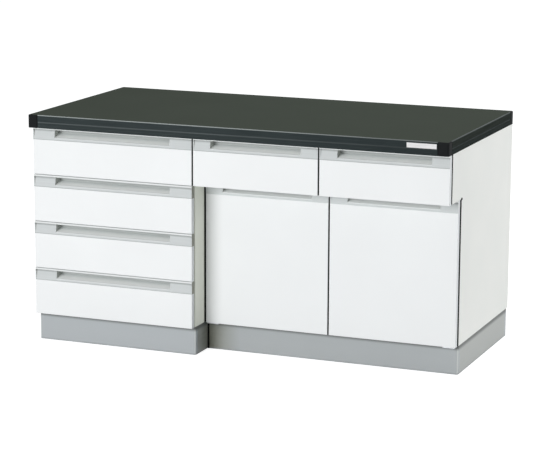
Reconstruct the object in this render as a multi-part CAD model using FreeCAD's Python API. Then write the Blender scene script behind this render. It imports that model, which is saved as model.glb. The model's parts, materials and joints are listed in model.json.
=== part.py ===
import FreeCAD, Part
import os

from FreeCAD import Vector

# A laboratory bench: one worktop over a four-drawer pedestal and a cupboard with two drawers above it.
# Lengths are millimetres. X runs along the bench to the right, Y to the back and Z up.
# The origin is on the floor, under the middle of the worktop.

# Whole bench
bench_width = 1500.0
bench_depth = 750.0
bench_height = 800.0
pedestal_width = 600.0
plinth_height = 100.0
drawer_rows = 4

# Boards of the two units
board = 18.0
back_board = 5.5
rail_width = 80.0
rail_clearance = 5.0
side_reveal = 1.0
notch_relief_radius = 5.0
worktop_overhang = 30.0
worktop_back_overhang = 6.0

# Drawer fronts and doors
front_board = 18.0
front_standoff = 4.0
front_step = 104.0
front_gap = 5.0
hinge_gap = 4.0
row_gap = 2.0
deck_rise = 3.5
front_drop = 2.0
front_edge_radius = 1.2

# Pull strip along the top of every front
strip_height = 42.0
strip_setback = 5.0
strip_foot = 4.0
strip_cap = 4.0
lip_height = 6.0
lip_round = 1.5
recess_foot = 9.0
recess_depth = 38.0
recess_rise = 11.0
recess_wall = 2.5
recess_round = 3.0
recess_roll = 4.5
recess_block_share = 0.138

# Worktop
worktop_thickness = 45.0
laminate_thickness = 1.2
trim_thickness = 4.0
trim_top_radius = 3.0
trim_bottom_radius = 1.0
groove_height = 3.0
groove_depth = 1.2
groove_flat_share = 0.3
groove_shares = (0.22, 0.45)
corner_leg = 35.0
corner_seam = 2.5
corner_radius = 8.0
plate_width = 100.0
plate_height = 16.0
plate_thickness = 0.8
plate_top_gap = 7.0
plate_end_gap = 3.0

# Plinth
plinth_board = 18.0
plinth_setback = 7.0
plinth_inset = 2.0
plinth_back_setback = 10.0
plinth_corner_radius = 8.0

# Drawer boxes
box_board = 12.0
box_bottom_board = 5.5
box_bottom_rise = 8.0
box_clearance = 7.0
box_back_clearance = 90.0

# Drawer slides
slide_thickness = 12.7
slide_height = 45.0
slide_sheet = 1.5
slide_play = 0.3
slide_tip_gap = 2.0
slide_setback = 4.0
slide_rise = 15.0
slide_end_margin = 50.0

# Door pivots
pivot_side_inset = 9.0
pivot_face_inset = 8.0
pivot_radius = 2.0
pivot_reach = 12.0
pivot_play = 0.05
pivot_clearance = 1.0
pivot_end_clearance = 1.0
bracket_sheet = 2.0
bracket_length = 36.0
bracket_margin = 5.0
bracket_upright_start = 14.0

# Door catches
catch_edge_gap = 14.5
catch_depth = 15.0
catch_height = 13.0
catch_side_gap = 4.0
catch_play = 0.3
strike_sheet = 1.2
strike_edge = 1.0

# Cupboard shelf and its pins
shelf_setback = 30.0
shelf_side_gap = 1.0
shelf_back_gap = 3.0
shelf_height_share = 0.5
shelf_pin_inset = 40.0
shelf_pin_radius = 2.5
shelf_pin_reach = 9.0
shelf_pin_head = 8.0
shelf_pin_play = 0.1

# Bolts that join the units and screws that hold the worktop
bolt_radius = 3.0
bolt_head_radius = 7.0
bolt_head_height = 2.5
bolt_play = 0.2
bolt_place_shares = (0.2, 0.8)
screw_radius = 2.0
screw_head_radius = 4.0
screw_head_height = 2.5
screw_grip = 22.0
screw_play = 0.1
screw_place_shares = (0.2, 0.8)

# How far a cutting body runs past the face it cuts, and how near counts as on a face
cut_overrun = 5.0
on_face = 0.001

# Places along X
half_gap = front_gap / 2
x_end = bench_width / 2
x_left = side_reveal - x_end
x_right = x_end - side_reveal
x_split = pedestal_width - x_end
x_middle = (x_split + x_right) / 2

# Places along Y
y_end = bench_depth / 2
y_drawer = worktop_overhang - y_end
y_door = y_drawer + front_step
y_carcass = y_drawer + front_board + front_standoff
y_step = y_carcass + front_step
y_rail = y_drawer + recess_depth + recess_wall + rail_clearance
y_back = y_end - worktop_back_overhang
y_back_panel = y_back - back_board

# Places along Z
z_carcass = plinth_height
z_floor = z_carcass + board
z_worktop = bench_height - worktop_thickness
z_rail = z_worktop - board
z_fronts = z_carcass - front_drop
row_pitch = (z_worktop - z_fronts) / drawer_rows
front_height = row_pitch - row_gap
top_row = drawer_rows - 1
z_deck = z_fronts + top_row * row_pitch - row_gap + deck_rise
z_deck_top = z_deck + board
z_door_top = z_deck - bracket_sheet - pivot_clearance


def block(x_0, x_1, y_0, y_1, z_0, z_1):
    """A square board between two places on each axis, named in either order."""
    low = Vector(min(x_0, x_1), min(y_0, y_1), min(z_0, z_1))
    return Part.makeBox(abs(x_1 - x_0), abs(y_1 - y_0), abs(z_1 - z_0), low)


def prism_along_x(points, x_0, x_1):
    """An outline of (y, z) points, drawn out from x_0 to x_1."""
    corners = [Vector(x_0, y, z) for y, z in points]
    face = Part.Face(Part.makePolygon(corners + corners[:1]))
    return face.extrude(Vector(x_1 - x_0, 0, 0))


def rod_along_x(radius, x_0, x_1, y, z):
    return Part.makeCylinder(radius, abs(x_1 - x_0), Vector(min(x_0, x_1), y, z), Vector(1, 0, 0))


def rod_along_z(radius, z_0, z_1, x, y):
    return Part.makeCylinder(radius, abs(z_1 - z_0), Vector(x, y, min(z_0, z_1)))


def near(a, b):
    return abs(a - b) < on_face


def edges_where(shape, test):
    """The edges whose two ends both pass the test."""
    return [edge for edge in shape.Edges if all(test(end.Point) for end in edge.Vertexes)]


def save(node, solids):
    shape = solids[0] if len(solids) == 1 else Part.makeCompound(solids)
    shape.exportStep("parts/" + node + ".step")


# Worktop

def trim_outline():
    """Section of the edge trim as an edge list: x is outward from the core, y is up from the trim's foot."""
    outer = trim_thickness
    inner = outer - groove_depth
    top = worktop_thickness
    bend = 1 - 0.5 ** 0.5
    corner_low = Vector(outer - bend * trim_bottom_radius, bend * trim_bottom_radius, 0)
    corner_high = Vector(outer - bend * trim_top_radius, top - bend * trim_top_radius, 0)
    points = [Vector(outer, trim_bottom_radius, 0)]
    for share in groove_shares:
        foot = share * top - groove_height / 2
        head = foot + groove_height
        ease = groove_flat_share * groove_height
        points.append(Vector(outer, foot, 0))
        points.append(Vector(inner, foot + ease, 0))
        points.append(Vector(inner, head - ease, 0))
        points.append(Vector(outer, head, 0))
    points.append(Vector(outer, top - trim_top_radius, 0))
    start = Vector(outer - trim_bottom_radius, 0, 0)
    finish = Vector(outer - trim_top_radius, top, 0)
    edges = [Part.makeLine(Vector(0, 0, 0), start)]
    edges.append(Part.Arc(start, corner_low, points[0]).toShape())
    for first, second in zip(points, points[1:]):
        edges.append(Part.makeLine(first, second))
    edges.append(Part.Arc(points[-1], corner_high, finish).toShape())
    edges.append(Part.makeLine(finish, Vector(0, top, 0)))
    edges.append(Part.makeLine(Vector(0, top, 0), Vector(0, 0, 0)))
    return edges


def edge_trim(length, quarter_turns, distance):
    """A trim of this length, middled on a worktop edge that lies this far from the origin."""
    trim = Part.Face(Part.Wire(trim_outline())).extrude(Vector(0, 0, length))
    trim.translate(Vector(0, 0, -length / 2))
    trim.rotate(Vector(0, 0, 0), Vector(1, 0, 0), 90)
    trim.translate(Vector(distance - trim_thickness, 0, z_worktop))
    trim.rotate(Vector(0, 0, 0), Vector(0, 0, 1), 90 * quarter_turns)
    return trim


def corner_cap(x_side, y_side):
    """Moulded cap around one corner of the worktop, rounded down its outer edge and along its top."""
    x_in = x_side * (x_end - corner_leg)
    y_in = y_side * (y_end - corner_leg)
    cap = block(x_in, x_side * x_end, y_in, y_side * y_end, z_worktop, bench_height)
    corner = edges_where(cap, lambda p: near(p.x, x_side * x_end) and near(p.y, y_side * y_end))
    cap = cap.makeFillet(corner_radius, corner)

    def on_outer_top(point):
        outer = near(point.x, x_side * x_end) or near(point.y, y_side * y_end)
        return outer and near(point.z, bench_height)

    cap = cap.makeFillet(trim_top_radius, edges_where(cap, on_outer_top))
    x_core = x_side * (x_end - trim_thickness)
    y_core = y_side * (y_end - trim_thickness)
    x_past = x_in - x_side * cut_overrun
    y_past = y_in - y_side * cut_overrun
    core = block(x_past, x_core, y_past, y_core, z_worktop - cut_overrun, bench_height + cut_overrun)
    return cap.cut(core)


def screw_places():
    """Where a worktop screw passes each top rail, as (x, y)."""
    places = []
    for x_0, x_1 in ((x_left + board, x_split - board), (x_split + board, x_right - board)):
        for y in (y_rail + rail_width / 2, y_back_panel - rail_width / 2):
            places += [(x_0 + share * (x_1 - x_0), y) for share in screw_place_shares]
    return places


def screw_holes():
    """One bore for each worktop screw, from under the rail to past the screw's point."""
    z_point = z_worktop + screw_grip + screw_play
    radius = screw_radius + screw_play
    return [rod_along_z(radius, z_rail - cut_overrun, z_point, x, y) for x, y in screw_places()]


def worktop_screw(x, y):
    shank = rod_along_z(screw_radius, z_rail, z_worktop + screw_grip, x, y)
    head = rod_along_z(screw_head_radius, z_rail - screw_head_height, z_rail, x, y)
    return shank.fuse(head).removeSplitter()


def make_worktop():
    x_core = x_end - trim_thickness
    y_core = y_end - trim_thickness
    z_laminate = bench_height - laminate_thickness
    core = block(-x_core, x_core, -y_core, y_core, z_worktop, z_laminate)
    save("worktop_core", [core.cut(screw_holes())])
    save("worktop_laminate", [block(-x_core, x_core, -y_core, y_core, z_laminate, bench_height)])
    long_trim = bench_width - 2 * (corner_leg + corner_seam)
    short_trim = bench_depth - 2 * (corner_leg + corner_seam)
    plate_x_1 = x_end - corner_leg - corner_seam - plate_end_gap
    plate_x_0 = plate_x_1 - plate_width
    plate_z_1 = bench_height - plate_top_gap
    plate_z_0 = plate_z_1 - plate_height
    y_seat = plate_thickness - y_end
    seat = block(plate_x_0, plate_x_1, -y_end - cut_overrun, y_seat, plate_z_0, plate_z_1)
    save("name_plate", [block(plate_x_0, plate_x_1, -y_end, y_seat, plate_z_0, plate_z_1)])
    save("edge_trim_front", [edge_trim(long_trim, 3, y_end).cut(seat)])
    save("edge_trim_back", [edge_trim(long_trim, 1, y_end)])
    save("edge_trim_sides", [edge_trim(short_trim, 0, x_end), edge_trim(short_trim, 2, x_end)])
    save("corner_caps", [corner_cap(x_side, y_side) for x_side in (-1, 1) for y_side in (-1, 1)])
    save("worktop_screws", [worktop_screw(x, y) for x, y in screw_places()])


# Carcass

def bolt_places():
    """Where a bolt joins the two units, as (y, z)."""
    depth = y_back - y_step
    heights = [z_fronts + row * row_pitch for row in (1, 2)]
    return [(y_step + share * depth, z) for share in bolt_place_shares for z in heights]


def bolt_holes():
    x_0 = x_split - board - cut_overrun
    x_1 = x_split + board + cut_overrun
    return [rod_along_x(bolt_radius + bolt_play, x_0, x_1, y, z) for y, z in bolt_places()]


def joining_bolt(y, z):
    """A headed bolt through both units' panels and the cap nut on its end."""
    x_head = x_split - board
    x_nut = x_split + board
    head = rod_along_x(bolt_head_radius, x_head - bolt_head_height, x_head, y, z)
    shank = rod_along_x(bolt_radius, x_head, x_nut, y, z)
    nut = rod_along_x(bolt_head_radius, x_nut, x_nut + bolt_head_height, y, z)
    return [head.fuse(shank).removeSplitter(), nut]


def shelf_level():
    return z_floor + shelf_height_share * (z_deck - z_floor - board)


def shelf_span():
    """The shelf's front and back edges along Y."""
    return y_step + shelf_setback, y_back_panel - shelf_back_gap


def shelf_pin_places():
    y_0, y_1 = shelf_span()
    z = shelf_level() - shelf_pin_head / 2
    return [(y_0 + shelf_pin_inset, z), (y_1 - shelf_pin_inset, z)]


def shelf_pin_holes(x_wall, into):
    """Bores for the pins in the wall at x_wall, which lies towards the given side."""
    x_end_of_bore = x_wall + into * (shelf_pin_reach + shelf_pin_play)
    x_open = x_wall - into * cut_overrun
    radius = shelf_pin_radius + shelf_pin_play
    return [rod_along_x(radius, x_open, x_end_of_bore, y, z) for y, z in shelf_pin_places()]


def shelf_pins(x_wall, into):
    pins = []
    for y, z in shelf_pin_places():
        half = shelf_pin_head / 2
        shank = rod_along_x(shelf_pin_radius, x_wall + into * shelf_pin_reach, x_wall, y, z)
        head = block(x_wall, x_wall - into * shelf_pin_head, y - half, y + half, z - half, z + half)
        pins.append(shank.fuse(head).removeSplitter())
    return pins


def notched_panel(x_0, x_1):
    """Side of the cupboard unit: cut back below the drawers, with a drilled relief in the inner corner."""
    outline = [(y_carcass, z_deck), (y_carcass, z_worktop), (y_back, z_worktop)]
    outline += [(y_back, z_carcass), (y_step, z_carcass), (y_step, z_deck)]
    relief = rod_along_x(notch_relief_radius, x_0 - cut_overrun, x_1 + cut_overrun, y_step, z_deck)
    return prism_along_x(outline, x_0, x_1).cut(relief)


def make_pedestal():
    x_0 = x_left + board
    x_1 = x_split - board
    inner = block(x_1, x_split, y_carcass, y_back, z_carcass, z_worktop)
    save("left_end_panel", [block(x_left, x_0, y_carcass, y_back, z_carcass, z_worktop)])
    save("pedestal_inner_panel", [inner.cut(bolt_holes())])
    save("pedestal_base", [block(x_0, x_1, y_carcass, y_back, z_carcass, z_floor)])


def make_cupboard():
    x_0 = x_split + board
    x_1 = x_right - board
    y_0, y_1 = shelf_span()
    z_shelf = shelf_level()
    inner = notched_panel(x_split, x_0).cut(bolt_holes() + shelf_pin_holes(x_0, -1))
    end = notched_panel(x_1, x_right).cut(shelf_pin_holes(x_1, 1))
    half = board / 2
    shelf = block(x_0 + shelf_side_gap, x_1 - shelf_side_gap, y_0, y_1, z_shelf, z_shelf + board)
    save("cupboard_inner_panel", [inner])
    save("right_end_panel", [end])
    save("cupboard_base", [block(x_0, x_1, y_step, y_back, z_carcass, z_floor)])
    save("drawer_deck", [block(x_0, x_1, y_carcass, y_back_panel, z_deck, z_deck_top)])
    partition = block(x_middle - half, x_middle + half, y_carcass, y_back_panel, z_deck_top, z_rail)
    save("upper_partition", [partition])
    save("cupboard_shelf", [shelf])
    save("shelf_pins", shelf_pins(x_0, -1) + shelf_pins(x_1, 1))


def make_shared_carcass():
    rails = []
    backs = []
    for x_0, x_1 in ((x_left + board, x_split - board), (x_split + board, x_right - board)):
        rails.append(block(x_0, x_1, y_rail, y_rail + rail_width, z_rail, z_worktop))
        rails.append(block(x_0, x_1, y_back_panel - rail_width, y_back_panel, z_rail, z_worktop))
        backs.append(block(x_0, x_1, y_back_panel, y_back, z_floor, z_worktop))
    save("top_rails", [rail.cut(screw_holes()) for rail in rails])
    save("back_panels", backs)
    bolts = []
    for y, z in bolt_places():
        bolts += joining_bolt(y, z)
    save("joining_bolts", bolts)


# Plinth

def plinth_front(x_0, x_1, y_face, rounded_ends):
    """Front board of the plinth, with a rounded upright edge at each of the ends named."""
    panel = block(x_0, x_1, y_face, y_face + plinth_board, 0, plinth_height)

    def on_corner(point):
        return near(point.y, y_face) and any(near(point.x, x) for x in rounded_ends)

    corners = [edge for edge in edges_where(panel, on_corner) if near(edge.Length, plinth_height)]
    return panel.makeFillet(plinth_corner_radius, corners)


def plinth_ring(x_0, x_1, y_face, rounded_ends):
    """The front, left, right and back boards under one unit."""
    y_1 = y_back - plinth_back_setback
    y_rear = y_1 - plinth_board
    y_front = y_face + plinth_board
    front = plinth_front(x_0, x_1, y_face, rounded_ends)
    left = block(x_0, x_0 + plinth_board, y_front, y_rear, 0, plinth_height)
    right = block(x_1 - plinth_board, x_1, y_front, y_rear, 0, plinth_height)
    rear = block(x_0, x_1, y_rear, y_1, 0, plinth_height)
    return front, left, right, rear


def make_plinth():
    p_0 = x_left + plinth_inset
    p_1 = x_split - plinth_inset
    c_0 = x_split + plinth_inset
    c_1 = x_right - plinth_inset
    pedestal = plinth_ring(p_0, p_1, y_carcass + plinth_setback, (p_0, p_1))
    cupboard = plinth_ring(c_0, c_1, y_step + plinth_setback, (c_1,))
    save("pedestal_plinth_front", [pedestal[0]])
    save("pedestal_plinth_return", [pedestal[2]])
    save("cupboard_plinth_front", [cupboard[0]])
    save("plinth_sides", [pedestal[1], cupboard[1], cupboard[2]])
    save("plinth_backs", [pedestal[3], cupboard[3]])


# Fronts

def front_panel(x_0, x_1, y_face, z_0, z_1):
    """A drawer front or door below its pull strip, with its face edges eased."""
    panel = block(x_0, x_1, y_face, y_face + front_board, z_0, z_1)
    return panel.makeFillet(front_edge_radius, edges_where(panel, lambda p: near(p.y, y_face)))


def recess_span(x_0, x_1):
    """Where the finger recess starts and ends along a front."""
    end = recess_block_share * (x_1 - x_0)
    return x_0 + end, x_1 - end


def recess_front(y_face, z_0):
    """Where the finger recess's floor meets the strip's leaning face, as (y, z)."""
    lean = strip_setback / (strip_height - lip_height - strip_foot)
    return y_face + lean * (recess_foot - strip_foot), z_0 + recess_foot


def finger_recess(x_0, x_1, y_face, z_0):
    """Space behind the strip's lip, with a floor that rises from the face towards the back."""
    z_lip = z_0 + strip_height - lip_height
    y_open = y_face - cut_overrun
    y_deep = y_face + recess_depth
    y_foot, z_foot = recess_front(y_face, z_0)
    z_deep = z_foot + recess_rise
    outline = [(y_open, z_lip), (y_deep, z_lip), (y_deep, z_deep), (y_foot, z_foot), (y_open, z_foot)]
    space = prism_along_x(outline, x_0, x_1)
    root = edges_where(space, lambda p: near(p.y, y_deep))
    return space.makeFillet(recess_round, [edge for edge in root if near(edge.Length, x_1 - x_0)])


def recess_shell(x_0, x_1, y_face, z_0):
    """Thin walls round the part of the finger recess that lies behind the front."""
    y_rear = y_face + front_board
    y_wall = y_face + recess_depth + recess_wall
    tilt = recess_rise / recess_depth
    z_foot = z_0 + recess_foot - recess_wall
    z_rear = z_foot + tilt * front_board
    z_wall = z_foot + recess_rise
    z_1 = z_0 + strip_height
    outline = [(y_rear, z_rear), (y_wall, z_wall), (y_wall, z_1), (y_rear, z_1)]
    return prism_along_x(outline, x_0 - recess_wall, x_1 + recess_wall)


def pull_strip(x_0, x_1, y_face, z_0):
    """The moulded strip with its lip, leaning face and rolled finger recess, and a cap on each end of it."""
    z_1 = z_0 + strip_height
    z_lip = z_1 - lip_height
    y_rear = y_face + front_board
    s_0 = x_0 + strip_cap
    s_1 = x_1 - strip_cap
    outline = [(y_face, z_0), (y_rear, z_0), (y_rear, z_1), (y_face, z_1)]
    outline += [(y_face, z_lip), (y_face + strip_setback, z_lip), (y_face, z_0 + strip_foot)]
    strip = prism_along_x(outline, s_0, s_1)

    def on_lip(point):
        return near(point.y, y_face) and point.z > z_lip - on_face

    along = [edge for edge in edges_where(strip, on_lip) if near(edge.Length, s_1 - s_0)]
    r_0, r_1 = recess_span(x_0, x_1)
    strip = strip.makeFillet(lip_round, along).fuse(recess_shell(r_0, r_1, y_face, z_0))
    strip = strip.cut(finger_recess(r_0, r_1, y_face, z_0)).removeSplitter()
    y_foot, z_foot = recess_front(y_face, z_0)
    front = edges_where(strip, lambda p: near(p.y, y_foot) and near(p.z, z_foot))
    strip = strip.makeFillet(recess_roll, front)
    caps = [block(x_0, s_0, y_face, y_rear, z_0, z_1), block(s_1, x_1, y_face, y_rear, z_0, z_1)]
    return [strip] + caps


# Drawers

def channel(x_web, side, reach, z_0, height, y_0, y_1):
    """A C-shaped rail: its web at x_web, and two flanges that reach towards the given side."""
    z_1 = z_0 + height
    web = block(x_web, x_web + side * slide_sheet, y_0, y_1, z_0, z_1)
    low = block(x_web, x_web + side * reach, y_0, y_1, z_0, z_0 + slide_sheet)
    high = block(x_web, x_web + side * reach, y_0, y_1, z_1 - slide_sheet, z_1)
    return web.fuse([low, high]).removeSplitter()


def slide(x_wall, side, z_0, y_0, y_1):
    """The rail on the cabinet's wall, and the rail inside it that the drawer carries."""
    inset = slide_sheet + slide_play
    fixed = channel(x_wall, side, slide_thickness - slide_tip_gap, z_0, slide_height, y_0, y_1)
    x_drawer = x_wall + side * slide_thickness
    reach = slide_thickness - slide_sheet - slide_tip_gap
    moving = channel(x_drawer, -side, reach, z_0 + inset, slide_height - 2 * inset, y_0, y_1)
    return fixed, moving


def drawer_box(x_0, x_1, y_0, y_1, z_0, z_1):
    """The five boards of a drawer box: sides, inner front, back and bottom."""
    i_0 = x_0 + box_board
    i_1 = x_1 - box_board
    f_1 = y_0 + box_board
    b_0 = y_1 - box_board
    z_bottom = z_0 + box_bottom_rise
    left = block(x_0, i_0, y_0, y_1, z_0, z_1)
    right = block(i_1, x_1, y_0, y_1, z_0, z_1)
    front = block(i_0, i_1, y_0, f_1, z_0, z_1)
    rear = block(i_0, i_1, b_0, y_1, z_0, z_1)
    bottom = block(i_0, i_1, f_1, b_0, z_bottom, z_bottom + box_bottom_board)
    return [left, right, front, rear, bottom]


def make_drawer(name, front, bay, row):
    """Saves one drawer's own pieces and returns the two fixed rails that carry it."""
    z_0 = z_fronts + row * row_pitch
    z_1 = z_0 + front_height
    z_strip = z_1 - strip_height
    y_rear = y_drawer + front_board
    y_box_end = y_back_panel - box_back_clearance
    z_box = z_0 + front_drop + board + box_clearance
    z_box_top = z_strip + recess_foot
    y_slide = y_carcass + slide_setback
    y_slide_end = y_slide + (y_box_end - y_rear) - slide_end_margin
    save(name + "_front", [front_panel(front[0], front[1], y_drawer, z_0, z_strip)])
    save(name + "_handle", pull_strip(front[0], front[1], y_drawer, z_strip))
    box_0 = bay[0] + slide_thickness
    box_1 = bay[1] - slide_thickness
    save(name + "_box", drawer_box(box_0, box_1, y_rear, y_box_end, z_box, z_box_top))
    z_slide = z_box + slide_rise
    left = slide(bay[0], 1, z_slide, y_slide, y_slide_end)
    right = slide(bay[1], -1, z_slide, y_slide, y_slide_end)
    save(name + "_runners", [left[1], right[1]])
    return [left[0], right[0]]


def make_drawers():
    half = board / 2
    pedestal_front = (x_left + half_gap, x_split - half_gap)
    pedestal_bay = (x_left + board, x_split - board)
    left_front = (x_split + half_gap, x_middle - half_gap)
    left_bay = (x_split + board, x_middle - half)
    right_front = (x_middle + half_gap, x_right - half_gap)
    right_bay = (x_middle + half, x_right - board)
    rails = []
    for number in range(1, drawer_rows + 1):
        name = "pedestal_drawer_" + str(number)
        rails += make_drawer(name, pedestal_front, pedestal_bay, drawer_rows - number)
    rails += make_drawer("upper_drawer_left", left_front, left_bay, top_row)
    rails += make_drawer("upper_drawer_right", right_front, right_bay, top_row)
    save("runner_channels", rails)


# Doors

def pivot_bracket_top(x, y, side):
    """Plate under the deck that holds the upper pin; it runs from the pin towards the given side."""
    x_0 = x - side * bracket_margin
    x_1 = x + side * bracket_length
    plate = block(x_0, x_1, y - bracket_margin, y_step, z_deck - bracket_sheet, z_deck)
    hole = rod_along_z(pivot_radius + pivot_play, z_deck - cut_overrun, z_deck + cut_overrun, x, y)
    return plate.cut(hole)


def pivot_bracket_bottom(x, y, side):
    """Angle on the cupboard's floor edge: a leaf below the door holds the lower pin."""
    x_0 = x - side * bracket_margin
    x_1 = x + side * bracket_length
    x_upright = x + side * bracket_upright_start
    z_1 = z_fronts - pivot_clearance
    z_0 = z_1 - bracket_sheet
    leaf = block(x_0, x_1, y - bracket_margin, y_step, z_0, z_1)
    upright = block(x_upright, x_1, y_step - bracket_sheet, y_step, z_0, z_floor)
    hole = rod_along_z(pivot_radius + pivot_play, z_0 - cut_overrun, z_1 + cut_overrun, x, y)
    return leaf.fuse(upright).removeSplitter().cut(hole)


def make_door(name, x_hinge, x_free):
    """Saves one door's own pieces and returns its fixed brackets, pins and catch."""
    side = 1 if x_free > x_hinge else -1
    x_0 = min(x_hinge, x_free)
    x_1 = max(x_hinge, x_free)
    x_pin = x_hinge + side * pivot_side_inset
    y_pin = y_door + pivot_face_inset
    z_strip = z_door_top - strip_height
    depth = pivot_reach + pivot_end_clearance
    bore = pivot_radius + pivot_play
    low_bore = rod_along_z(bore, z_fronts - cut_overrun, z_fronts + depth, x_pin, y_pin)
    high_bore = rod_along_z(bore, z_door_top - depth, z_door_top + cut_overrun, x_pin, y_pin)
    save(name + "_panel", [front_panel(x_0, x_1, y_door, z_fronts, z_strip).cut(low_bore)])
    strip = pull_strip(x_0, x_1, y_door, z_strip)
    save(name + "_handle", [strip[0].cut(high_bore)] + strip[1:])
    y_rear = y_door + front_board
    y_strike = y_rear + strike_sheet
    y_catch = y_strike + catch_play
    r_0, r_1 = recess_span(x_0, x_1)
    c_1 = r_1 + recess_wall + catch_side_gap if side > 0 else r_0 - recess_wall - catch_side_gap
    c_0 = x_free - side * catch_edge_gap
    z_catch = z_deck - catch_height
    save(name + "_strike", [block(c_0, c_1, y_rear, y_strike, z_catch, z_door_top - strike_edge)])
    catch = block(c_0, c_1, y_catch, y_catch + catch_depth, z_catch, z_deck)
    z_leaf = z_fronts - pivot_clearance - bracket_sheet
    low_pin = rod_along_z(pivot_radius, z_leaf, z_fronts + pivot_reach, x_pin, y_pin)
    high_pin = rod_along_z(pivot_radius, z_door_top - pivot_reach, z_deck, x_pin, y_pin)
    brackets = [pivot_bracket_top(x_pin, y_pin, side), pivot_bracket_bottom(x_pin, y_pin, side)]
    return brackets, [low_pin, high_pin], [catch]


def make_doors():
    left = make_door("left_door", x_split + hinge_gap, x_middle - half_gap)
    right = make_door("right_door", x_right - hinge_gap, x_middle + half_gap)
    for node, first, second in zip(("pivot_brackets", "pivot_pins", "door_catches"), left, right):
        save(node, first + second)


os.makedirs("parts", exist_ok=True)
make_worktop()
make_pedestal()
make_cupboard()
make_shared_carcass()
make_plinth()
make_drawers()
make_doors()
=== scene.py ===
import json
import math

import bmesh
import bpy
from mathutils import Matrix, Vector

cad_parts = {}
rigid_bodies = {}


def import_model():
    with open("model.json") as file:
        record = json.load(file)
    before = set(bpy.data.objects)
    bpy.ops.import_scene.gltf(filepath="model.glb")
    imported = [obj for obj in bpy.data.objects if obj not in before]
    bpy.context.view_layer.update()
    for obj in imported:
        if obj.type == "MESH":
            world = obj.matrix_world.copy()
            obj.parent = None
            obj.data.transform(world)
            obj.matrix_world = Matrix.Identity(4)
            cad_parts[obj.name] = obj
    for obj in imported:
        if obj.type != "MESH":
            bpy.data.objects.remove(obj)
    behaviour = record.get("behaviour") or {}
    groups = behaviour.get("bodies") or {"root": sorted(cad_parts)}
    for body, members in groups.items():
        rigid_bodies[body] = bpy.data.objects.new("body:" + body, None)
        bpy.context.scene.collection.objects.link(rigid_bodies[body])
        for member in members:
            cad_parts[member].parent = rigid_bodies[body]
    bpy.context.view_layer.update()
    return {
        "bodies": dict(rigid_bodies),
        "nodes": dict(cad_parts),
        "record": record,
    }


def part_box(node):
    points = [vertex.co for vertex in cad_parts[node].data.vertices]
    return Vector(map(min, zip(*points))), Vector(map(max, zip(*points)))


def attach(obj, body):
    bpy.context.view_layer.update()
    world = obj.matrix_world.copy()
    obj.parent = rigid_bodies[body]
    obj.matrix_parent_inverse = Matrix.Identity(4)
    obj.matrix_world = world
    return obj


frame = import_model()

# Looks of a laboratory bench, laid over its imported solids. Lengths are metres in the part's own frame,
# colours are 0 to 255 per channel, and shares are parts of a piece's own box or size.

# Camera, matched to the photograph
camera_place = (2.75799, -6.89036, 1.91695)
camera_tilt = 78.48767
camera_roll = -0.26228
camera_turn = 21.9272
camera_lens = 145.28237
camera_sensor = 36.0

# Stage and light
floor_reach = 30.0
floor_colour = (188, 190, 190)
floor_glow = 0.85
world_strength = 0.38
key_place = (-2.8, -9.0, 2.0)
key_size = (5.6, 3.6)
key_power = 550.0
fill_place = (5.2, 1.2, 1.0)
fill_size = (2.4, 2.4)
fill_power = 102.0
top_place = (0.6, 0.6, 4.6)
top_size = (1.6, 1.6)
top_power = 77.0
light_target = (0.0, 0.0, 0.45)

# Screw heads and soft pads: rings of (share of the radius, share of the height), from the foot up
head_segments = 24
screw_radius = 0.0036
screw_height = 0.0009
screw_rings = ((1.0, 0.0), (1.0, 0.35), (0.92, 0.75), (0.78, 1.0))
slot_reach_share = 0.62
slot_width_share = 0.16
slot_depth_share = 0.7
slot_foot_share = 0.9
buffer_radius = 0.004
buffer_height = 0.0034
buffer_rings = ((1.0, 0.0), (1.0, 0.4), (0.9, 0.75), (0.65, 0.95), (0.35, 1.0))
buffer_inset = 0.006
buffer_rise = 0.011

# Places of the screws
box_board = 0.012
front_screw_shares = (0.2, 0.8)
front_screw_heights = (0.3, 0.7)
bracket_reach = 0.045
bracket_upright = 0.022
bracket_sheet = 0.002
bracket_screw_shares = (0.25, 0.75)
bracket_screw_rise = 0.014
back_screw_inset = 0.012
back_screw_pitch = 0.19

# Black bead in the inner corner of the plinth and black plug in the notch of the right end panel, both
# painted shade
plinth_gap_depth = 0.007
corner_bead = 0.002
bead_steps = 6
bead_top_gap = 0.0005
plug_radius = 0.0049
plug_depth = 0.012
plug_proud = 0.0006
plug_steps = 18
plug_cap_reach = 0.008
plug_start = math.radians(-90)
plug_sweep = math.radians(270)

# Places on the solids that a material follows
door_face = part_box("left_door_panel")[0].y
plinth_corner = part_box("cupboard_plinth_front")[0].x
pedestal_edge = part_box("pedestal_inner_panel")[1].x
worktop_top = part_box("worktop_laminate")[1].z
worktop_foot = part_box("worktop_core")[0].z

# Bands of colour on the boards: painted shade in the gaps beside the fronts and on the plinth, a darker foot
# on the plinth, and a backing sheet
backing_height = 0.001
gap_shade_lead = 0.0065
gap_shade_fade = 0.00065
pedestal_skin = 0.002
pedestal_skin_fade = 0.001
gap_shade_half = (0.4, 0.6)
plinth_shade_reach = 0.115
corner_shading = (1.0, 0.1)
return_shading = (0.25, 0.75)
plinth_dark_foot_height = 0.007
plinth_under_shade_heights = (0.080, 0.091)
plinth_tint = (177, 182, 185)
# A darker copy of the tint for the side boards: painted shade
plinth_side_shaded_tint = (174, 177, 175)

# Bands of colour on the worktop's edging: a painted highlight on the top lip and on a line in each groove,
# and painted falloff of light towards the right; each groove line has a height share, a left and a right tone
trim_lip_highlight = 0.003
trim_falloff = (-0.1, 0.6)
groove_highlights = ((0.22, (63, 70, 71), (53, 60, 61)), (0.45, (90, 96, 97), (67, 73, 74)))
groove_half = 0.0015
groove_fade = 0.001

# Bands of painted light and shade on a pull strip, as shares of its height, depth or length
strip_foot_shade = (0.02, 0.06)
strip_neck_shade = (0.66, 0.82)
strip_roof = (0.8, 0.84)
strip_lip_highlight = (0.85, 0.865)
strip_back_shade = (0.88, 0.92)
strip_end = (0.005, 0.02)
strip_middle = 0.5
cap_shade_change = 0.01
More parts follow.
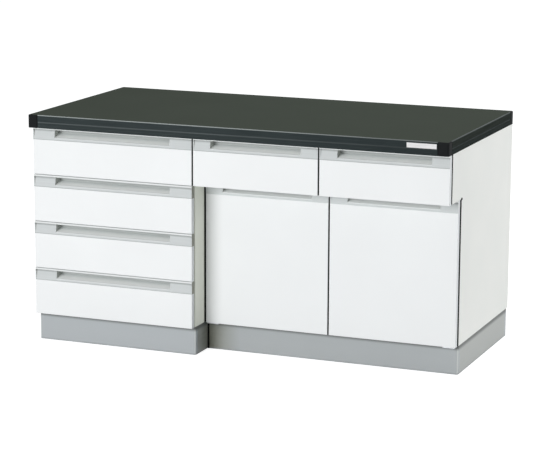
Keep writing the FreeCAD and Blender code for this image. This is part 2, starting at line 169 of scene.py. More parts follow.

# Tones of the pull strips, with painted highlights on the lips and painted shade at the foot; a recess floor
# has stops along its depth, painted darker at its front edge and deep in
body_tone = (205, 209, 210)
foot_shade_tone = (164, 168, 168)
lip_highlight_tone = (229, 232, 232)
# Paler lips for strips in shade: painted light
pale_lip_highlight_tone = (247, 250, 250)
door_body_tone = (208, 212, 213)
drawer_floor_shading = (
    (0.06, (226, 230, 230)), (0.2, (252, 254, 253)), (0.5, (250, 252, 251)), (0.9, (218, 223, 222)),
)
door_floor_shading = (
    (0.06, (236, 240, 240)), (0.2, (252, 254, 254)), (0.6, (250, 252, 252)), (0.95, (240, 244, 243)),
)

# How squarely a surface has to face an axis to take a colour, from none of it to all
square_on = (0.6, 0.8)
sloping = (0.2, 0.4)
oblique = (0.3, 0.5)
front_on = (-0.9, -0.7)

# The part of a texture's range that its colours and finish are spread over
noise_span = (0.3, 0.7)
mottle_span = (0.35, 0.65)
cell_span = (0.2, 0.8)

# Rounding of sawn board edges
board_slots = ("white_board", "drawer_board", "plinth_grey", "core_board")
sheet_slots = ("zinc_steel", "catch_plastic")
board_round = 0.0006
sheet_round = 0.0003
round_segments = 2
weld_distance = 0.00001
flat_angle = math.radians(0.5)
edge_angle = math.radians(30)


# Shader helpers

def linear(red, green, blue):
    """A colour as a shader takes it."""
    def channel(value):
        share = value / 255
        return share / 12.92 if share <= 0.04045 else ((share + 0.055) / 1.055) ** 2.4
    return channel(red), channel(green), channel(blue), 1.0


def add_node(tree, kind, **settings):
    node = tree.nodes.new("ShaderNode" + kind)
    for name, value in settings.items():
        setattr(node, name, value)
    return node


def start_material(name, specular=0.5, metallic=0.0, roughness=0.5):
    material = bpy.data.materials.new(name)
    material.use_nodes = True
    tree = material.node_tree
    tree.nodes.clear()
    shader = add_node(tree, "BsdfPrincipled")
    shader.inputs["Specular IOR Level"].default_value = specular
    shader.inputs["Metallic"].default_value = metallic
    shader.inputs["Roughness"].default_value = roughness
    output = add_node(tree, "OutputMaterial")
    tree.links.new(shader.outputs["BSDF"], output.inputs["Surface"])
    return material, tree, shader


def own_place(tree, stretch):
    """Coordinates of the piece itself, scaled per axis."""
    coordinates = add_node(tree, "TexCoord")
    mapping = add_node(tree, "Mapping")
    mapping.inputs["Scale"].default_value = stretch
    tree.links.new(coordinates.outputs["Object"], mapping.inputs["Vector"])
    return mapping.outputs["Vector"]


def noise(tree, scale, detail=3.0, stretch=(1, 1, 1)):
    texture = add_node(tree, "TexNoise")
    texture.inputs["Scale"].default_value = scale
    texture.inputs["Detail"].default_value = detail
    tree.links.new(own_place(tree, stretch), texture.inputs["Vector"])
    return texture.outputs["Fac"]


def cells(tree, scale, stretch=(1, 1, 1)):
    texture = add_node(tree, "TexVoronoi")
    texture.inputs["Scale"].default_value = scale
    tree.links.new(own_place(tree, stretch), texture.inputs["Vector"])
    return texture.outputs["Color"]


def ramp(tree, factor, *stops):
    """Colours over a factor; each stop is a place and a colour."""
    node = add_node(tree, "ValToRGB")
    elements = node.color_ramp.elements
    while len(elements) < len(stops):
        elements.new(1.0)
    for element, (place, colour) in zip(elements, stops):
        element.position = place
        element.color = linear(*colour)
    tree.links.new(factor, node.inputs["Fac"])
    return node.outputs["Color"]


def tones(tree, factor, dark, light, span=noise_span):
    """From a dark to a light colour over a texture's range."""
    low, high = span
    return ramp(tree, factor, (low, dark), (high, light))


def sway(tree, factor, tone, swing):
    """One tone, taken up and down a little by a texture."""
    dark = [channel - swing for channel in tone]
    light = [channel + swing for channel in tone]
    return tones(tree, factor, dark, light)


def spread(tree, value, low, high, span=noise_span):
    """Goes from the low result to the high one while the value goes through the span."""
    node = add_node(tree, "MapRange")
    node.inputs["From Min"].default_value = span[0]
    node.inputs["From Max"].default_value = span[1]
    node.inputs["To Min"].default_value = low
    node.inputs["To Max"].default_value = high
    tree.links.new(value, node.inputs["Value"])
    return node.outputs["Result"]


def step_up(tree, value, low, high):
    """Goes from 0 at the low value to 1 at the high one."""
    return spread(tree, value, 0.0, 1.0, (low, high))


def step_down(tree, value, low, high):
    """Goes from 1 at the low value to 0 at the high one."""
    return spread(tree, value, 1.0, 0.0, (low, high))


def mix(tree, factor, first, second):
    node = add_node(tree, "Mix", data_type="RGBA")
    tree.links.new(factor, node.inputs["Factor"])
    tree.links.new(first, node.inputs[6])
    tree.links.new(second, node.inputs[7])
    return node.outputs[2]


def both(tree, first, second):
    """The product of two masks."""
    node = add_node(tree, "Math", operation="MULTIPLY")
    tree.links.new(first, node.inputs[0])
    tree.links.new(second, node.inputs[1])
    return node.outputs[0]


def band(tree, value, middle, half, fade):
    """1 within a half-width of the middle, fading to 0 on both sides."""
    rising = step_up(tree, value, middle - half - fade, middle - half)
    falling = step_down(tree, value, middle + half, middle + half + fade)
    return both(tree, rising, falling)


def axis_part(tree, kind, axis):
    """One axis of a kind of the piece's own coordinates."""
    coordinates = add_node(tree, "TexCoord")
    parts = add_node(tree, "SeparateXYZ")
    tree.links.new(coordinates.outputs[kind], parts.inputs["Vector"])
    return parts.outputs[axis]


def along(tree, axis):
    """The piece's own coordinate along an axis, in metres."""
    return axis_part(tree, "Object", axis)


def box_share(tree, axis):
    """The place along an axis as a share of the piece's own box."""
    return axis_part(tree, "Generated", axis)


def facing(tree, axis, squareness=square_on):
    """Goes from 0 to 1 where the piece's own surface faces along the axis, either way."""
    size = add_node(tree, "Math", operation="ABSOLUTE")
    tree.links.new(axis_part(tree, "Normal", axis), size.inputs[0])
    return step_up(tree, size.outputs[0], *squareness)


def facing_front(tree):
    """Goes from 0 to 1 where the piece's own surface faces the front of the bench."""
    return step_down(tree, axis_part(tree, "Normal", "Y"), *front_on)


def set_colour(tree, shader, source):
    tree.links.new(source, shader.inputs["Base Color"])


def set_finish(tree, shader, texture, smooth, rough):
    """Roughness that follows a texture."""
    tree.links.new(spread(tree, texture, smooth, rough), shader.inputs["Roughness"])


def set_bump(tree, shader, height, strength, distance):
    node = add_node(tree, "Bump")
    node.inputs["Strength"].default_value = strength
    node.inputs["Distance"].default_value = distance
    tree.links.new(height, node.inputs["Height"])
    tree.links.new(node.outputs["Normal"], shader.inputs["Normal"])


# Materials, at least one for each slot of the record

def worktop_laminate():
    material, tree, shader = start_material("worktop_laminate", specular=0.0)
    grain = noise(tree, scale=900, detail=4)
    cloud = noise(tree, scale=5, detail=2)
    fine = tones(tree, grain, (64, 69, 63), (74, 80, 73))
    broad = tones(tree, grain, (67, 72, 66), (77, 83, 76))
    set_colour(tree, shader, mix(tree, cloud, fine, broad))
    set_finish(tree, shader, cloud, smooth=0.6, rough=0.75)
    set_bump(tree, shader, grain, strength=0.1, distance=0.0003)
    return material


def edge_trim():
    """Drawn dark edging with a painted highlight on its top lip and on a line in each groove; its right half
    is painted dimmer, as light falling off.
    """
    material, tree, shader = start_material("edge_trim", specular=0.0)
    drawn = noise(tree, scale=160, stretch=(0.05, 0.05, 1))
    grain = noise(tree, scale=1200, detail=2)
    height = along(tree, "Z")
    # Painted falloff of light: every tone gets dimmer towards the right
    right_falloff = step_up(tree, along(tree, "X"), *trim_falloff)

    def with_falloff(left, right, swing):
        return mix(tree, right_falloff, sway(tree, drawn, left, swing), sway(tree, drawn, right, swing))

    long_face = with_falloff((55, 62, 63), (48, 55, 56), swing=4)
    end_face = sway(tree, drawn, (49, 54, 51), swing=4)
    face = mix(tree, facing(tree, "X"), long_face, end_face)
    # A painted highlight on a line in each groove
    for share, left, right in groove_highlights:
        middle = worktop_foot + share * (worktop_top - worktop_foot)
        line = band(tree, height, middle, groove_half, groove_fade)
        face = mix(tree, line, face, with_falloff(left, right, swing=3))
    # A painted highlight along the top lip, dimmer on the end faces and towards the right
    long_lip_highlight = with_falloff((151, 157, 157), (112, 117, 117), swing=8)
    end_lip_highlight = sway(tree, drawn, (90, 95, 95), swing=6)
    lip = mix(tree, facing(tree, "X", sloping), long_lip_highlight, end_lip_highlight)
    top = step_up(tree, height, worktop_top - trim_lip_highlight, worktop_top - trim_lip_highlight / 2)
    set_colour(tree, shader, mix(tree, top, face, lip))
    set_finish(tree, shader, drawn, smooth=0.3, rough=0.4)
    set_bump(tree, shader, grain, strength=0.06, distance=0.0002)
    return material


def core_board():
    """Chipboard with a pale backing sheet below, and painted shade on its sides, where they show in the seams
    of the edging.
    """
    material, tree, shader = start_material("core_board", specular=0.2, roughness=0.8)
    chips = cells(tree, scale=220, stretch=(1, 1, 2.5))
    dust = noise(tree, scale=600, detail=4)
    pale = tones(tree, chips, (150, 116, 78), (208, 178, 134), cell_span)
    dark = tones(tree, chips, (120, 90, 60), (186, 152, 108), cell_span)
    # Painted shade: the sides show only in narrow seams
    gap_shaded = tones(tree, dust, (30, 32, 32), (40, 42, 42))
    backing = tones(tree, chips, (206, 206, 203), (216, 216, 213), cell_span)
    raw = mix(tree, dust, dark, pale)
    lowest = step_down(tree, along(tree, "Z"), worktop_foot, worktop_foot + backing_height)
    flat = mix(tree, lowest, raw, backing)
    set_colour(tree, shader, mix(tree, facing(tree, "Z"), gap_shaded, flat))
    set_bump(tree, shader, dust, strength=0.4, distance=0.0004)
    return material


def gap_shade_strip(tree, grain, edge):
    """The edge's own colour on the left of a piece, and a dark strip of painted shade on its right, for the
    gap beside it.
    """
    gap_shade = tones(tree, grain, (58, 60, 60), (66, 68, 68))
    return mix(tree, step_up(tree, box_share(tree, "X"), *gap_shade_half), edge, gap_shade)


def front_white(name="front_white", gap_shaded=False):
    """White face with slightly greyer upright edges, a painted shade; a front beside a gap has a dark strip
    of painted shade on its right edge.
    """
    material, tree, shader = start_material(name, specular=0.2)
    cloud = noise(tree, scale=3, detail=2)
    peel = noise(tree, scale=420, detail=2)
    face = tones(tree, cloud, (239, 241, 242), (242, 244, 245))
    # Upright edges a little greyer than the face: painted shade
    edge = tones(tree, peel, (226, 230, 232), (233, 236, 238))
    # Painted shade on the right edge of a front that stands beside a gap
    if gap_shaded:
        edge = gap_shade_strip(tree, peel, edge)
    set_colour(tree, shader, mix(tree, facing(tree, "X"), face, edge))
    set_finish(tree, shader, peel, smooth=0.4, rough=0.5)
    set_bump(tree, shader, peel, strength=0.05, distance=0.0002)
    return material


def board_finish(tree, shader, grain):
    """The finish that the cabinet's white boards share."""
    set_finish(tree, shader, grain, smooth=0.45, rough=0.6)
    set_bump(tree, shader, grain, strength=0.08, distance=0.0002)


def white_board():
    """White faces with a dark band of painted shade on the upright edges that the fronts close against, seen
    in the gaps.
    """
    material, tree, shader = start_material("white_board", specular=0.1)
    cloud = noise(tree, scale=4, detail=2)
    grain = noise(tree, scale=700)
    face = tones(tree, cloud, (238, 240, 237), (242, 243, 240))
    # Painted shade on the front edges, for the gaps behind the fronts
    edge = tones(tree, grain, (62, 63, 62), (72, 73, 72))
    set_colour(tree, shader, mix(tree, facing_front(tree), face, edge))
    board_finish(tree, shader, grain)
    return material


def step_board():
    """The pedestal's side: white with a warm tint of painted light, and a black strip of painted shade where
    the left door's gap runs beside it.
    """
    material, tree, shader = start_material("step_board", specular=0.1)
    cloud = noise(tree, scale=4, detail=2)
    grain = noise(tree, scale=700)
    # A warm tint of painted light, as in the step between the units
    face = tones(tree, cloud, (245, 247, 235), (248, 250, 239))
    # Painted shade for the gap beside the left door
    gap_shade = tones(tree, grain, (10, 11, 10), (16, 17, 15))
    y_gap_shade = door_face - gap_shade_lead
    x_skin = pedestal_edge - pedestal_skin
    behind = step_up(tree, along(tree, "Y"), y_gap_shade, y_gap_shade + gap_shade_fade)
    outside = step_up(tree, along(tree, "X"), x_skin, x_skin + pedestal_skin_fade)
    set_colour(tree, shader, mix(tree, both(tree, behind, outside), face, gap_shade))
    board_finish(tree, shader, grain)
    return material


def drawer_board():
    material, tree, shader = start_material("drawer_board", specular=0.3)
    streak = noise(tree, scale=60, detail=4, stretch=(1, 0.08, 1))
    grain = noise(tree, scale=800)
    set_colour(tree, shader, tones(tree, streak, (222, 219, 210), (232, 230, 222)))
    set_finish(tree, shader, grain, smooth=0.5, rough=0.65)
    set_bump(tree, shader, streak, strength=0.08, distance=0.0003)
    return material


def handle_grey(name="handle_grey", floor=drawer_floor_shading, lip=lip_highlight_tone, body=body_tone, foot=foot_shade_tone,
                gap_shaded=False):
    """Moulded grey with painted light and shade: a painted highlight on the lip, painted shade on the neck
    beneath it, at the foot, on the walls of the finger recess and on the ends in the left half of the bench,
    and a recess floor painted darker as it gets deeper.
    """
    material, tree, shader = start_material(name, specular=0.06)
    drawn = noise(tree, scale=300, stretch=(0.02, 1, 1))
    height = box_share(tree, "Z")
    depth = box_share(tree, "Y")
    # Painted shade on the neck beneath the lip, and on the recess's back and side walls
    neck = tones(tree, drawn, (160, 164, 164), (168, 172, 172))
    hollow_shade = tones(tree, drawn, (172, 176, 175), (180, 184, 183))
    wall_shade = tones(tree, drawn, (186, 190, 185), (196, 200, 195))
    # Painted shade on the ends of the strips in the left half of the bench, which stand in the step's shade
    cap = ramp(tree, along(tree, "X"), (0.0, (160, 162, 152)), (cap_shade_change, (230, 233, 234)))
    # Painted shade on the right end of a strip that stands beside a gap
    if gap_shaded:
        cap = gap_shade_strip(tree, drawn, cap)
    face = mix(tree, step_up(tree, height, *strip_neck_shade), sway(tree, drawn, body, swing=3), neck)
    # Painted shade along the foot
    face = mix(tree, step_down(tree, height, *strip_foot_shade), face, sway(tree, drawn, foot, swing=4))
    # A painted highlight on the lip
    face = mix(tree, step_up(tree, height, *strip_lip_highlight), face, sway(tree, drawn, lip, swing=3))
    on_floor = both(tree, facing(tree, "Z", sloping), step_down(tree, height, *strip_roof))
    # Painted shade deeper in the recess floor
    face = mix(tree, on_floor, face, ramp(tree, depth, *floor))
    face = mix(tree, step_up(tree, depth, *strip_back_shade), face, hollow_shade)
    from_end = add_node(tree, "Math", operation="PINGPONG")
    from_end.inputs[1].default_value = strip_middle
    tree.links.new(box_share(tree, "X"), from_end.inputs[0])
    ends = mix(tree, step_down(tree, from_end.outputs[0], *strip_end), wall_shade, cap)
    set_colour(tree, shader, mix(tree, facing(tree, "X"), face, ends))
    set_finish(tree, shader, drawn, smooth=0.45, rough=0.55)
    set_bump(tree, shader, drawn, strength=0.04, distance=0.0002)
    return material


def plinth_grey(name="plinth_grey", shade=None, tint=plinth_tint):
    """Grey laminate with a painted highlight on its round corners, painted shade beneath the units, and
    darker along the bottom; shade says where painted shade falls on a board.
    """
    material, tree, shader = start_material(name, specular=0.3)
    grain = noise(tree, scale=500)
    mottle = noise(tree, scale=30, detail=5, stretch=(0.4, 0.4, 2))
    height = along(tree, "Z")
    # Darker along the bottom
    dark_foot = tones(tree, mottle, (146, 150, 152), (164, 168, 170), mottle_span)
    # Painted shade beneath the fronts
    under_shade = tones(tree, grain, (96, 99, 98), (106, 109, 108))
    # A painted highlight on the round corners
    corner_highlight = tones(tree, grain, (206, 210, 210), (214, 218, 218))
    corner = both(tree, facing(tree, "X", oblique), facing(tree, "Y", oblique))
    face = mix(tree, corner, sway(tree, grain, tint, swing=4), corner_highlight)
    if shade:
        # Olive painted shade where the step between the units shades the plinth
        shade_tone = tones(tree, mottle, (130, 131, 118), (138, 139, 126), mottle_span)
        face = mix(tree, shade(tree), face, shade_tone)
    face = mix(tree, step_down(tree, height, 0.0, plinth_dark_foot_height), face, dark_foot)
    set_colour(tree, shader, mix(tree, step_up(tree, height, *plinth_under_shade_heights), face, under_shade))
    set_finish(tree, shader, grain, smooth=0.45, rough=0.55)
    set_bump(tree, shader, grain, strength=0.06, distance=0.0002)
    return material


def corner_shade(tree):
    """Painted shade, from the inner corner of the plinth along the cupboard's board."""
    reach = (plinth_corner, plinth_corner + plinth_shade_reach)
    return spread(tree, along(tree, "X"), *corner_shading, reach)


def return_shade(tree):
    """Painted shade, from the front of the pedestal's plinth back to the inner corner."""
    reach = (door_face - plinth_shade_reach, door_face)
    return spread(tree, along(tree, "Y"), *return_shading, reach)


def zinc_steel():
    material, tree, shader = start_material("zinc_steel", metallic=1.0)
    spangle = cells(tree, scale=160)
    haze = noise(tree, scale=40)
    set_colour(tree, shader, tones(tree, spangle, (176, 180, 184), (206, 209, 212), cell_span))
    set_finish(tree, shader, haze, smooth=0.28, rough=0.42)
    set_bump(tree, shader, haze, strength=0.04, distance=0.0002)
    return material


def grained(name, dark, light, relief, finish=None, scale=900, stretch=(1, 1, 1), **shine):
    """One grain in colour, bump and finish; relief is the bump's strength and distance."""
    material, tree, shader = start_material(name, **shine)
    grain = noise(tree, scale, stretch=stretch)
    set_colour(tree, shader, tones(tree, grain, dark, light))
    if finish:
        set_finish(tree, shader, grain, *finish)
    set_bump(tree, shader, grain, *relief)
    return material


corner_cap = grained(
    "corner_cap", (28, 30, 31), (35, 37, 38), relief=(0.15, 0.0002), finish=(0.45, 0.6),
    scale=700, specular=0.02,
)
plain_plate = grained(
    "plain_plate", (214, 213, 214), (226, 225, 226), relief=(0.05, 0.0001), finish=(0.25, 0.4),
    scale=500, stretch=(0.04, 1, 1),
)
bright_steel = grained(
    "bright_steel", (196, 198, 200), (222, 224, 226), relief=(0.05, 0.0001), finish=(0.2, 0.35),
    stretch=(0.1, 1, 1), metallic=1.0,
)
catch_plastic = grained(
    "catch_plastic", (224, 224, 219), (234, 234, 229), relief=(0.1, 0.0002), finish=(0.45, 0.6),
    specular=0.3,
)
# Near black, for pieces that stand for shade in gaps and holes
shade_black = grained(
    "shade_black", (10, 11, 10), (18, 19, 18), relief=(0.15, 0.0002), specular=0.05, roughness=0.8,
)
buffer_rubber = grained(
    "buffer_rubber", (196, 196, 192), (212, 212, 208), relief=(0.15, 0.0002), specular=0.2, roughness=0.7,
)
slot_materials = {
    "worktop_laminate": worktop_laminate(),
    "edge_trim": edge_trim(),
    "corner_cap": corner_cap,
    "core_board": core_board(),
    "plain_plate": plain_plate,
    "front_white": front_white(),
    "white_board": white_board(),
    "drawer_board": drawer_board(),
    "handle_grey": handle_grey(),
    "plinth_grey": plinth_grey(),
    "zinc_steel": zinc_steel(),
    "bright_steel": bright_steel,
    "catch_plastic": catch_plastic,
}

# Nodes whose own place calls for a variant of their slot's material: painted shade in the gaps beside some
# fronts, on the plinth and on the pedestal's side, and paler strips as painted light where the worktop or the
# drawers above shade them
gap_shaded_front = front_white("front_white_gap_shaded", gap_shaded=True)
gap_shaded_handle = handle_grey("handle_grey_gap_shaded", lip=pale_lip_highlight_tone, gap_shaded=True)
# The doors' strips are paler, painted light against the shade of the drawers above, with no painted shade at
# the foot
door_strip_lit = {"floor": door_floor_shading, "lip": pale_lip_highlight_tone, "body": door_body_tone, "foot": door_body_tone}
node_materials = {
    "pedestal_drawer_1_front": gap_shaded_front,
    "upper_drawer_left_front": gap_shaded_front,
    "left_door_panel": gap_shaded_front,
    "pedestal_drawer_1_handle": gap_shaded_handle,
    "upper_drawer_left_handle": gap_shaded_handle,
    # A paler lip, painted light against the worktop's shade
    "upper_drawer_right_handle": handle_grey("handle_grey_shaded", lip=pale_lip_highlight_tone),
    "left_door_handle": handle_grey("handle_grey_door_gap_shaded", gap_shaded=True, **door_strip_lit),
    "right_door_handle": handle_grey("handle_grey_door", **door_strip_lit),
    "pedestal_inner_panel": step_board(),
    "cupboard_plinth_front": plinth_grey("plinth_grey_corner", corner_shade),
    "pedestal_plinth_return": plinth_grey("plinth_grey_return", return_shade),
    "plinth_sides": plinth_grey("plinth_grey_side", tint=plinth_side_shaded_tint),
}
node_slots = {part["node"]: part["material_slot"] for part in frame["record"]["subparts"]}


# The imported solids: materials, and eased edges where boards and sheets are sawn or cut

def dress(node):
    for slot in frame["nodes"][node].material_slots:
        slot.material = node_materials.get(node) or slot_materials[node_slots[node]]


def ease_edges(node, width):
    piece = frame["nodes"][node]
    weld = piece.modifiers.new("weld", "WELD")
    weld.merge_threshold = weld_distance
    flat = piece.modifiers.new("flat", "DECIMATE")
    flat.decimate_type = "DISSOLVE"
    flat.angle_limit = flat_angle
    round_over = piece.modifiers.new("round", "BEVEL")
    round_over.width = width
    round_over.segments = round_segments
    round_over.limit_method = "ANGLE"
    round_over.angle_limit = edge_angle
    normals = piece.modifiers.new("normals", "WEIGHTED_NORMAL")
    normals.keep_sharp = True


# Small hardware

def add_piece(name, mesh, body, material):
    """Makes a finished mesh into a piece that rides on a body; its four-sided faces are shaded smooth."""
    data = bpy.data.meshes.new(name)
    mesh.to_mesh(data)
    mesh.free()
    data.materials.append(material)
    for face in data.polygons:
        face.use_smooth = len(face.vertices) == 4
    piece = bpy.data.objects.new(name, data)
    bpy.context.scene.collection.objects.link(piece)
    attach(piece, body)


def set_of(name, maker, places, body, material):
    """One piece of several small parts; each place is a point and the way that the part stands up from it."""
    mesh = bmesh.new()
    for point, up in places:
        turn = Vector((0, 0, 1)).rotation_difference(Vector(up)).to_matrix().to_4x4()
        maker(mesh, Matrix.Translation(point) @ turn)
    add_piece(name, mesh, body, material)


def set_of_screws(name, places, body):
    set_of(name, screw_head, places, body, bright_steel)


def ringed(mesh, at, rings):
    """Joins rings of points, each (radius per segment, height), into one skin closed at both ends."""
    rows = []
    for radii, height in rings:
        row = []
        for step, radius in enumerate(radii):
            angle = 2 * math.pi * step / len(radii)
            point = Vector((radius * math.cos(angle), radius * math.sin(angle), height))
            row.append(mesh.verts.new(at @ point))
        rows.append(row)
    for lower, upper in zip(rows, rows[1:]):
        for step in range(len(lower)):
            after = (step + 1) % len(lower)
            mesh.faces.new((lower[step], lower[after], upper[after], upper[step]))
    mesh.faces.new(list(reversed(rows[0])))
    mesh.faces.new(rows[-1])


def round_rings(radius, height, shares):
    return [([out * radius] * head_segments, up * height) for out, up in shares]


def cross_ring(radius, height):
    """A ring in the shape of a cross recess."""
    reach = radius * slot_reach_share
    half = radius * slot_width_share
    radii = []
    for step in range(head_segments):
        angle = 2 * math.pi * step / head_segments
        longer = max(abs(math.cos(angle)), abs(math.sin(angle)))
        shorter = min(abs(math.cos(angle)), abs(math.sin(angle)))
        arm = reach / longer
        side = half / shorter if shorter > 0 else arm
        radii.append(min(arm, side))
    return radii, height


def screw_head(mesh, at):
    rings = round_rings(screw_radius, screw_height, screw_rings)
    rings.append(cross_ring(screw_radius, screw_height))
    rings.append(cross_ring(slot_foot_share * screw_radius, screw_height * (1 - slot_depth_share)))
    ringed(mesh, at, rings)


def buffer_pad(mesh, at):
    ringed(mesh, at, round_rings(buffer_radius, buffer_height, buffer_rings))


def drawn_out(mesh, outline, reach):
    """A closed body: the outline's points, and the same points moved by the reach."""
    reach = Vector(reach)
    first = [mesh.verts.new(Vector(point)) for point in outline]
    second = [mesh.verts.new(Vector(point) + reach) for point in outline]
    count = len(outline)
    for step in range(count):
        after = (step + 1) % count
        mesh.faces.new((first[step], first[after], second[after], second[step]))
    mesh.faces.new(list(reversed(first)))
    mesh.faces.new(second)
    bmesh.ops.recalc_face_normals(mesh, faces=mesh.faces)


def corner_shade_bead():
    """Black bead down the inner corner of the plinth, where the two units meet: painted shade for the gap
    there.
    """
    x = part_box("pedestal_plinth_return")[1].x
    low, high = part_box("cupboard_plinth_front")
    outline = [(low.x, low.y + plinth_gap_depth, 0), (x, low.y + plinth_gap_depth, 0)]
    out = low.x - x + corner_bead
    for step in range(bead_steps + 1):
        angle = math.pi / 2 * step / bead_steps
        outline.append((x + out * math.sin(angle), low.y - corner_bead * math.cos(angle), 0))
    outline.append((low.x, low.y, 0))
    mesh = bmesh.new()
    drawn_out(mesh, outline, (0, 0, high.z - bead_top_gap))
    add_piece("plinth_corner_shade_bead", mesh, "bench", shade_black)


def notch_shade_plug():
    """Black plug in the relief of the right end panel's notch, with a thin cap outside: painted shade for the
    hollow.
    """
    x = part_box("right_end_panel")[1].x
    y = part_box("cupboard_base")[0].y
    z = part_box("drawer_deck")[0].z
    mesh = bmesh.new()
    for reach, depth in ((plug_radius, plug_depth), (plug_cap_reach, -plug_proud)):
        outline = [(x, y, z)]
        for step in range(plug_steps + 1):
            angle = plug_start + plug_sweep * step / plug_steps
            outline.append((x, y + reach * math.cos(angle), z + plug_radius * math.sin(angle)))
        drawn_out(mesh, outline, (-depth, 0, 0))
    add_piece("notch_shade_plug", mesh, "bench", shade_black)


def bracket_screws():
    """Two screws in the upright of each door's lower bracket."""
    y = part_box("cupboard_base")[0].y - bracket_sheet
    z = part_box("pivot_brackets")[0].z + bracket_screw_rise
    left_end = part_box("left_door_panel")[0].x + bracket_reach
    right_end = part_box("right_door_panel")[1].x - bracket_reach
    places = []
    for share in bracket_screw_shares:
        places.append(((left_end - share * bracket_upright, y, z), (0, -1, 0)))
        places.append(((right_end + share * bracket_upright, y, z), (0, -1, 0)))
    set_of_screws("bracket_screws", places, "bench")


def drawer_details(name):
    """Screws that hold the front, seen inside the drawer, and soft pads behind the front."""
    low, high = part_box(name + "_box")
    y_inside = low.y + box_board
    screws = []
    for x_share in front_screw_shares:
        for z_share in front_screw_heights:
            x = low.x + x_share * (high.x - low.x)
            z = low.z + z_share * (high.z - low.z)
            screws.append(((x, y_inside, z), (0, 1, 0)))
    set_of_screws(name + "_screws", screws, name)
    low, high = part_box(name + "_front")
    pads = []
    for x in (low.x + buffer_inset, high.x - buffer_inset):
        for z in (low.z + buffer_rise, high.z - buffer_rise):
            pads.append(((x, high.y, z), (0, 1, 0)))
    set_of(name + "_buffers", buffer_pad, pads, name, buffer_rubber)


def door_details(name, hinge_side):
    """A soft pad behind the lower corner of a door's free edge."""
    low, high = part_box(name + "_panel")
    x = high.x - buffer_inset if hinge_side < 0 else low.x + buffer_inset
    pads = [((x, high.y, low.z + buffer_rise), (0, 1, 0))]
    set_of(name + "_buffers", buffer_pad, pads, name, buffer_rubber)


def row_of(start, end, pitch):
    """Evenly spaced places from start to end, about a pitch apart."""
    count = max(1, round((end - start) / pitch))
    return [start + step * (end - start) / count for step in range(count + 1)]


def back_screws():
    """Screws round the edge of each back panel, and down the line where the panels meet."""
    low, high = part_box("back_panels")
    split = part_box("pedestal_inner_panel")[1].x
    places = []
    for x_0, x_1 in ((low.x, split), (split, high.x)):
        left = x_0 + back_screw_inset
        right = x_1 - back_screw_inset
        bottom = low.z + back_screw_inset
        top = high.z - back_screw_inset
        for x in row_of(left, right, back_screw_pitch):
            places += [((x, high.y, bottom), (0, 1, 0)), ((x, high.y, top), (0, 1, 0))]
        for z in row_of(bottom, top, back_screw_pitch)[1:-1]:
            places += [((left, high.y, z), (0, 1, 0)), ((right, high.y, z), (0, 1, 0))]
    set_of_screws("back_screws", places, "bench")


# Stage

def seen_directly(tree):
    """1 for camera, glossy and transmission rays, 0 for the rays that light the object."""
    path = add_node(tree, "LightPath")
    total = path.outputs["Is Camera Ray"]
    for kind in ("Is Glossy Ray", "Is Transmission Ray"):
        larger = add_node(tree, "Math", operation="MAXIMUM")
        tree.links.new(total, larger.inputs[0])
        tree.links.new(path.outputs[kind], larger.inputs[1])
        total = larger.outputs[0]
    return total


def floor_material():
    """A pale floor that takes a contact shadow and looks white to the camera and in reflections."""
    material = bpy.data.materials.new("floor")
    material.use_nodes = True
    tree = material.node_tree
    tree.nodes.clear()
    pale = add_node(tree, "BsdfDiffuse")
    pale.inputs["Color"].default_value = linear(*floor_colour)
    glow = add_node(tree, "Emission")
    glow.inputs["Strength"].default_value = floor_glow
    bright = add_node(tree, "AddShader")
    tree.links.new(pale.outputs[0], bright.inputs[0])
    tree.links.new(glow.outputs[0], bright.inputs[1])
    choice = add_node(tree, "MixShader")
    tree.links.new(seen_directly(tree), choice.inputs[0])
    tree.links.new(pale.outputs[0], choice.inputs[1])
    tree.links.new(bright.outputs[0], choice.inputs[2])
    output = add_node(tree, "OutputMaterial")
    tree.links.new(choice.outputs[0], output.inputs["Surface"])
    return material


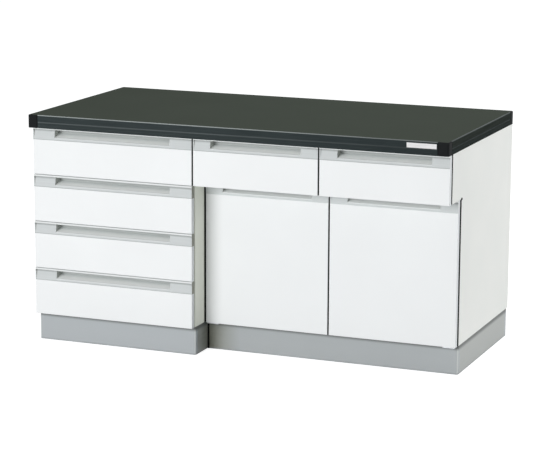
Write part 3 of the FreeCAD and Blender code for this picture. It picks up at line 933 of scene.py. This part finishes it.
def make_floor():
    mesh = bmesh.new()
    bmesh.ops.create_grid(mesh, x_segments=1, y_segments=1, size=floor_reach)
    data = bpy.data.meshes.new("floor")
    mesh.to_mesh(data)
    mesh.free()
    data.materials.append(floor_material())
    floor = bpy.data.objects.new("floor", data)
    bpy.context.scene.collection.objects.link(floor)


def make_world():
    """Soft white light on the object, and plain white where the world itself is seen."""
    world = bpy.data.worlds.new("studio")
    world.use_nodes = True
    tree = world.node_tree
    tree.nodes.clear()
    soft = add_node(tree, "Background")
    soft.inputs["Strength"].default_value = world_strength
    white = add_node(tree, "Background")
    for background in (soft, white):
        background.inputs["Color"].default_value = (1, 1, 1, 1)
    choice = add_node(tree, "MixShader")
    tree.links.new(seen_directly(tree), choice.inputs[0])
    tree.links.new(soft.outputs[0], choice.inputs[1])
    tree.links.new(white.outputs[0], choice.inputs[2])
    output = add_node(tree, "OutputWorld")
    tree.links.new(choice.outputs[0], output.inputs["Surface"])
    bpy.context.scene.world = world


def make_lamp(name, place, size, power):
    data = bpy.data.lights.new(name, "AREA")
    data.shape = "ELLIPSE"
    data.size, data.size_y = size
    data.energy = power
    lamp = bpy.data.objects.new(name, data)
    lamp.location = place
    lamp.rotation_euler = (Vector(light_target) - Vector(place)).to_track_quat("-Z", "Y").to_euler()
    bpy.context.scene.collection.objects.link(lamp)


def make_camera():
    data = bpy.data.cameras.new("camera")
    data.lens = camera_lens
    data.sensor_width = camera_sensor
    data.sensor_fit = "HORIZONTAL"
    camera = bpy.data.objects.new("camera", data)
    camera.location = camera_place
    camera.rotation_euler = [math.radians(angle) for angle in (camera_tilt, camera_roll, camera_turn)]
    bpy.context.scene.collection.objects.link(camera)
    bpy.context.scene.camera = camera


for node, slot_name in node_slots.items():
    dress(node)
    if slot_name in board_slots:
        ease_edges(node, board_round)
    elif slot_name in sheet_slots:
        ease_edges(node, sheet_round)

for body in frame["bodies"]:
    if "drawer" in body:
        drawer_details(body)
door_details("left_door", -1)
door_details("right_door", 1)
back_screws()
bracket_screws()
corner_shade_bead()
notch_shade_plug()

make_floor()
make_world()
make_lamp("key", key_place, key_size, key_power)
make_lamp("fill", fill_place, fill_size, fill_power)
make_lamp("top", top_place, top_size, top_power)
make_camera()
bpy.context.scene.view_settings.view_transform = "Standard"
